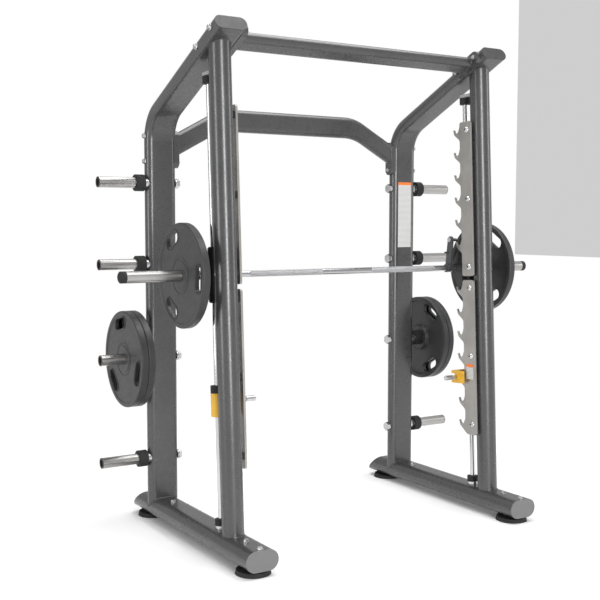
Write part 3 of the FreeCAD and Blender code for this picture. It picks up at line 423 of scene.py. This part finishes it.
# Weight plates: a raised lip round every grip slot and a ring round the hub
GRIP_CENTRE, GRIP_HALF, GRIP_HALF_WIDTH = 0.168, 0.059, 0.025
LIP = 0.0032
FACES = {                          # node: (turn in degrees, outer face shown, inner face shown, body)
    "bar_plate_right": (62, True, True, "right_bar_plate"),
    "bar_plate_left": (2, True, True, "left_bar_plate"),
    "stored_plate_outer_right": (60, True, False, "right_stored_plates"),
    "stored_plate_outer_left": (17, True, False, "left_stored_plates"),
    "stored_plate_inner_right": (60, False, True, "right_stored_plates"),
    "stored_plate_inner_left": (17, False, True, "left_stored_plates"),
}


def plate_lips(node, turn, outer, inner):
    low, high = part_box(node)
    centre = (low + high) / 2
    right = centre.x > 0
    front = high.x - 0.003 if right else low.x + 0.003
    back = low.x + 0.015 if right else high.x - 0.015
    faces = [x for x, shown in ((front, outer), (back, inner)) if shown]

    def build(bm):
        for x in faces:
            for i in range(3):
                a = math.radians(180 + turn + 120 * i)
                radial, tangent = Vector((0, math.cos(a), math.sin(a))), Vector((0, -math.sin(a), math.cos(a)))
                middle = Vector((x, centre.y, centre.z)) + radial * GRIP_CENTRE
                tube_along(bm, oval_points(GRIP_HALF + LIP, GRIP_HALF_WIDTH + LIP, 72, middle, tangent, radial), LIP)
            ring_points = [Vector((x, centre.y + 0.078 * math.cos(t), centre.z + 0.078 * math.sin(t)))
                           for t in (2 * math.pi * k / 96 for k in range(96))]
            tube_along(bm, ring_points, 0.0016)
    return mesh_of(f"{node}_lips", build)


for node, (turn, outer, inner, body) in FACES.items():
    piece(f"{node}_lips", plate_lips(node, turn, outer, inner), "plate_iron", body)


def hex_disc(bm, centre, radius, thick, axis_x=1):
    ring = [[bm.verts.new(centre + Vector((x, radius * math.cos(a), radius * math.sin(a))))
             for a in (math.pi * k / 3 for k in range(6))] for x in (0, axis_x * thick)]
    bm.faces.new(ring[0])
    bm.faces.new(ring[1][::-1])
    for k in range(6):
        bm.faces.new((ring[0][k], ring[1][k], ring[1][(k + 1) % 6], ring[0][(k + 1) % 6]))


def sockets(bm):
    """A thin dark hexagon on each domed rack bolt: painted shade standing in for the shaded hexagon recess."""
    for low, high in clusters("rack_bolts", 0.08):
        side = 1 if low.x > 0 else -1
        face = low.x if side > 0 else high.x
        hex_disc(bm, Vector((face - side * 0.0002, (low.y + high.y) / 2, (low.z + high.z) / 2)), 0.005, 0.002, side)


# Painted shade: flat dark hexagons sit on the bolt domes where the hex recesses would hold shade.
socket_shade_piece = piece("rack_bolt_socket_shade", mesh_of("rack_bolt_socket_shade", sockets), "cap_dark", "frame")
for face in socket_shade_piece.data.polygons:
    face.use_smooth = False


def wipers(node):
    """The lip seals at both ends of a carriage's bearing housing."""
    low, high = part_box(node)
    side = 1 if low.x > 0 else -1
    rod_back, bar_height, half = 0.107, (BAR.z + 0.149 * math.sin(LEAN)) / math.cos(LEAN), 0.1155

    def build(bm):
        for end in (-1, 1):
            height = bar_height + end * (half + 0.001)
            points = [leaning(side * FRAME_X + 0.0195 * math.cos(a), rod_back + 0.0195 * math.sin(a), height)
                      for a in (2 * math.pi * k / 48 for k in range(48))]
            tube_along(bm, points, 0.0035)
    return mesh_of(f"{node}_wipers", build)


for word in ("right", "left"):
    piece(f"carriage_wipers_{word}", wipers(f"carriage_{word}"), "rubber_black", "carriages")


# Stage, light and camera ---------------------------------------------------------------------------------

world = bpy.data.worlds.new("world")
bpy.context.scene.world = world
world.use_nodes = True
world.node_tree.nodes["Background"].inputs["Color"].default_value = (1, 1, 1, 1)
world.node_tree.nodes["Background"].inputs["Strength"].default_value = 0.62

floor_mesh = mesh_of("floor", lambda bm: bmesh.ops.create_grid(bm, x_segments=1, y_segments=1, size=30))
floor = bpy.data.objects.new("floor", floor_mesh)
bpy.context.scene.collection.objects.link(floor)
floor_look = Mat("floor_look")
distance = floor_look.node("ShaderNodeVectorMath", operation="LENGTH")
floor_look.link(floor_look.coords, distance.inputs[0])
floor_look.bsdf.inputs["Emission Color"].default_value = (1, 1, 1, 1)
away = floor_look.remap(distance.outputs["Value"], 1.2, 4.5)
floor_mesh.materials.append(floor_look.finish(
    Base_Color=floor_look.mix(away, (0.90, 0.90, 0.90), (0, 0, 0)), Roughness=0.7,
    Specular_IOR_Level=floor_look.remap(away, 0, 1, 0.2, 0.0), Emission_Strength=away))

wall_mesh = mesh_of("backdrop", lambda bm: bmesh.ops.create_grid(bm, x_segments=1, y_segments=1, size=30))
wall = bpy.data.objects.new("backdrop", wall_mesh)
wall.location = (0, 29.9, 0)
wall.rotation_euler = (math.radians(90), 0, 0)
bpy.context.scene.collection.objects.link(wall)
wall_look = Mat("backdrop_look")
wall_look.bsdf.inputs["Emission Color"].default_value = (1, 1, 1, 1)
wall_mesh.materials.append(wall_look.finish(Base_Color=(0, 0, 0), Specular_IOR_Level=0.0, Emission_Strength=1.0))
wall.visible_glossy = False


def soft_light(name, place, target, size, power):
    data = bpy.data.lights.new(name, "AREA")
    data.shape = "RECTANGLE"
    data.size, data.size_y = size
    data.energy = power
    obj = bpy.data.objects.new(name, data)
    obj.location = place
    obj.rotation_euler = (Vector(target) - Vector(place)).to_track_quat("-Z", "Y").to_euler()
    bpy.context.scene.collection.objects.link(obj)


soft_light("top_light", (0.3, -0.3, 5.0), (0, 0, 0), (4, 4), 210)
soft_light("front_light", (-1.6, -7.0, 2.2), (0, 0, 1.1), (1.6, 4), 260)
soft_light("left_light", (-6.5, -0.5, 2.0), (0, 0, 1.0), (1.5, 3.5), 90)
soft_light("right_light", (6.0, -3.0, 2.5), (0, 0, 1.0), (1.5, 3.5), 70)

camera_data = bpy.data.cameras.new("camera")
camera = bpy.data.objects.new("camera", camera_data)
camera.location = (-2.7106, -4.0663, 1.4292)
camera.rotation_euler = (math.radians(90 - 4.358), math.radians(-0.066), math.radians(-32.015))
camera_data.lens = 61.09
camera_data.sensor_width = 36
camera_data.clip_end = 100
bpy.context.scene.collection.objects.link(camera)
bpy.context.scene.camera = camera
bpy.context.scene.view_settings.view_transform = "Standard"
